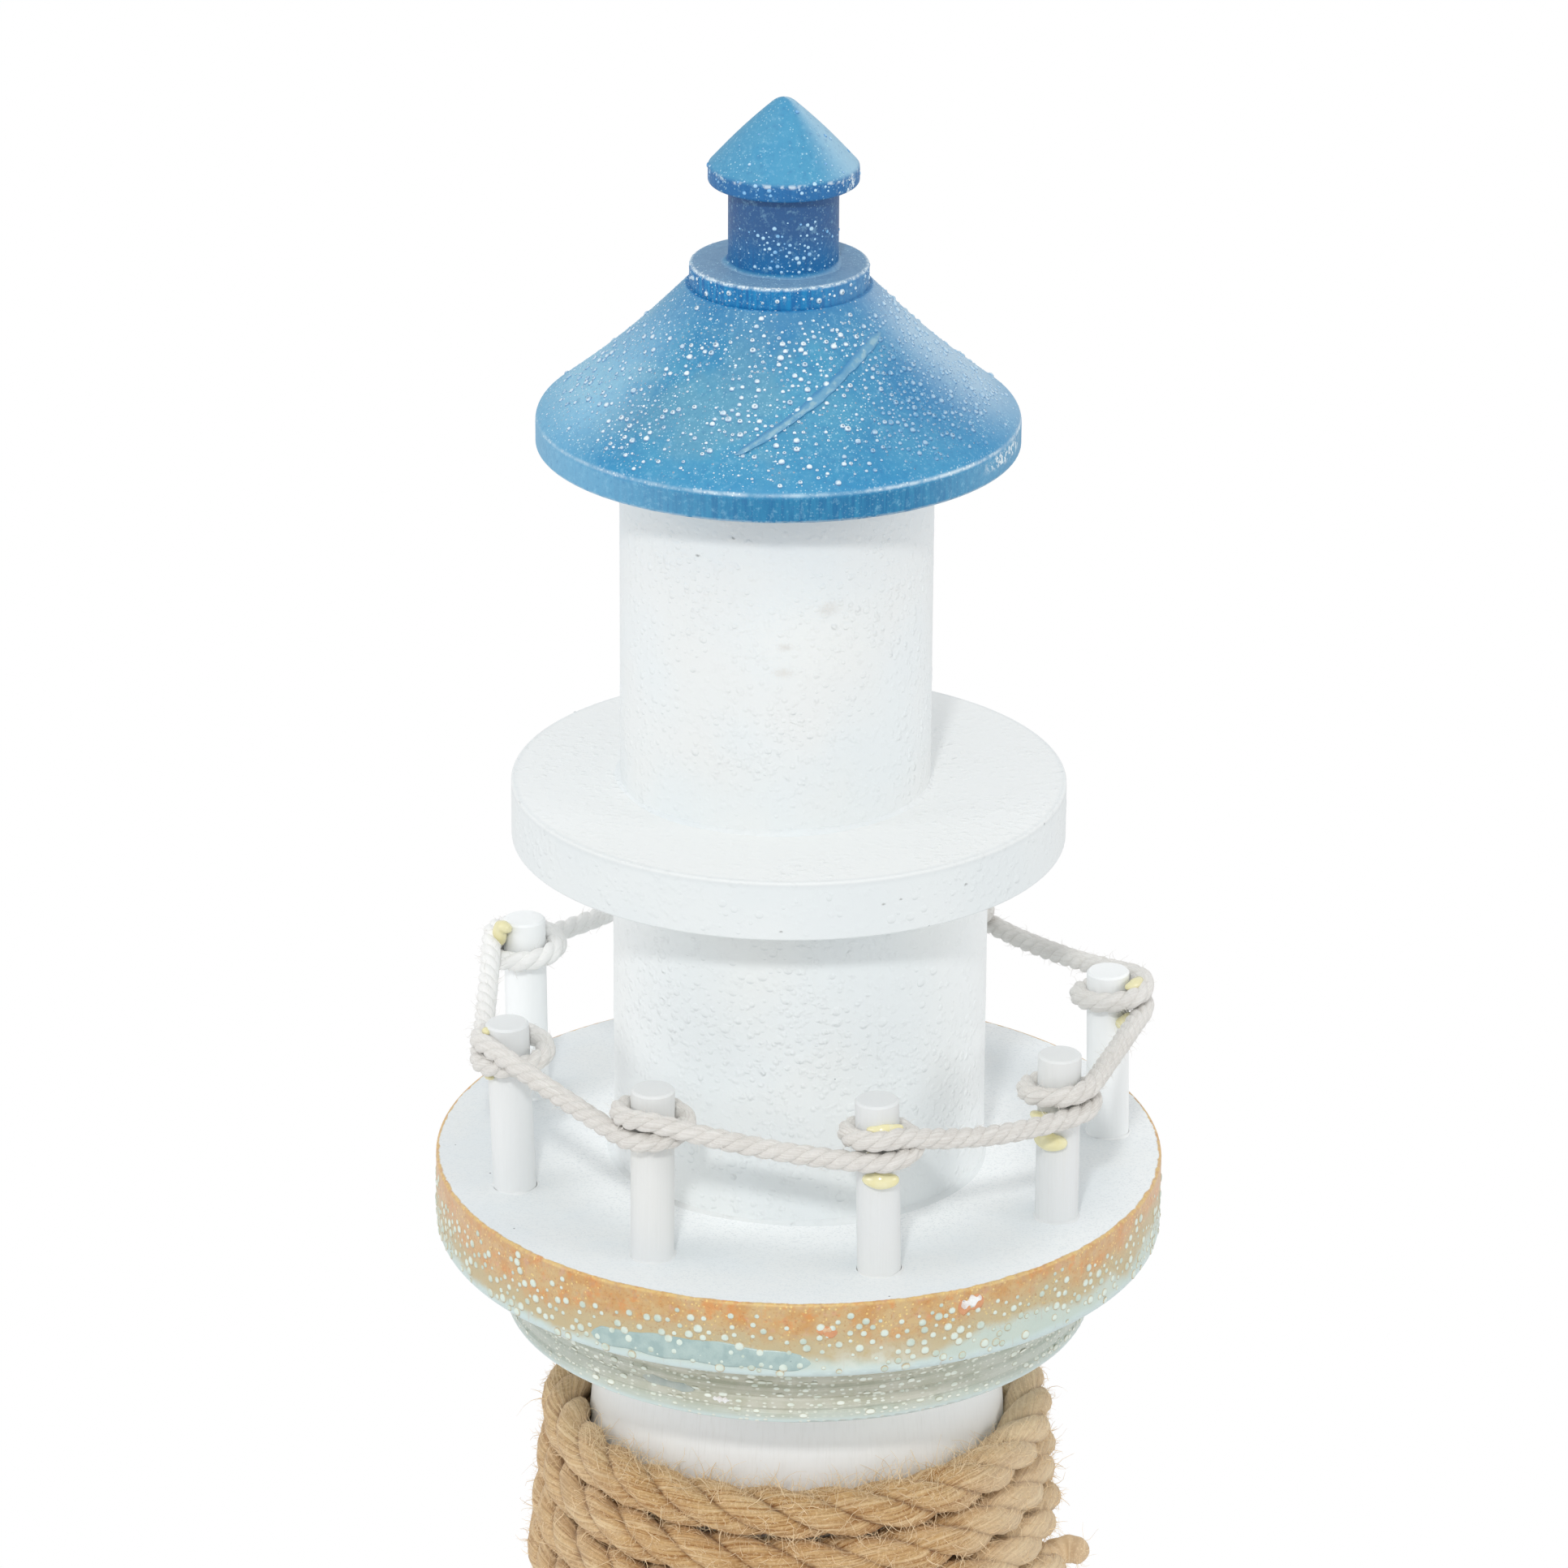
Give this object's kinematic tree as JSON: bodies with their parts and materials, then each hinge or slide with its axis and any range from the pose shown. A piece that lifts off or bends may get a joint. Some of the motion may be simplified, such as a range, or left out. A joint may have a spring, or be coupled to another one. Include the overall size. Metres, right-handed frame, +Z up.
{
  "type": "lighthouse figurine",
  "caption": "Turned wooden lighthouse figurine with a blue roof, a gallery railed with dowels and cotton cord, and a jute rope winding.",
  "frame": {"origin": "centre of the felt disc's underside, which rests on the shelf", "axes": "+Z up the tower, -Y towards the viewer of the picture, +X to that viewer's right"},
  "size_m": [0.176, 0.176, 0.5999],
  "materials": {
    "white_paint": "matte paint on wood",
    "blue_paint": "matte paint on wood, speckled",
    "deck_paint": "white top, distressed tan and mint rim",
    "rim_paint": "distressed tan and mint paint",
    "step_paint": "distressed grey-green paint",
    "bare_wood": "bare",
    "screw_steel": "zinc plated",
    "felt": "felt",
    "cotton": "twisted cotton",
    "jute": "laid jute",
    "hot_glue": "clear, yellowed"
  },
  "bodies": {
    "root": {"base_felt": "felt", "base_plinth": "rim_paint", "base_step": "step_paint", "base_screws": "screw_steel", "tower_body": "white_paint", "gallery_step_disc": "step_paint", "gallery_deck": "deck_paint", "watch_room": "white_paint", "upper_gallery": "white_paint", "lamp_room": "white_paint", "roof": "blue_paint", "finial": "blue_paint", "gallery_pin": "bare_wood", "upper_pin": "bare_wood", "roof_pin": "bare_wood", "railing_cord": "cotton", "railing_glue": "hot_glue", "rope_winding": "jute", "rope_end_strand": "jute", "rail_post_1": "white_paint", "rail_post_2": "white_paint", "rail_post_3": "white_paint", "rail_post_4": "white_paint", "rail_post_5": "white_paint", "rail_post_6": "white_paint", "rail_post_7": "white_paint", "rail_post_8": "white_paint"}
  },
  "joints": []
}
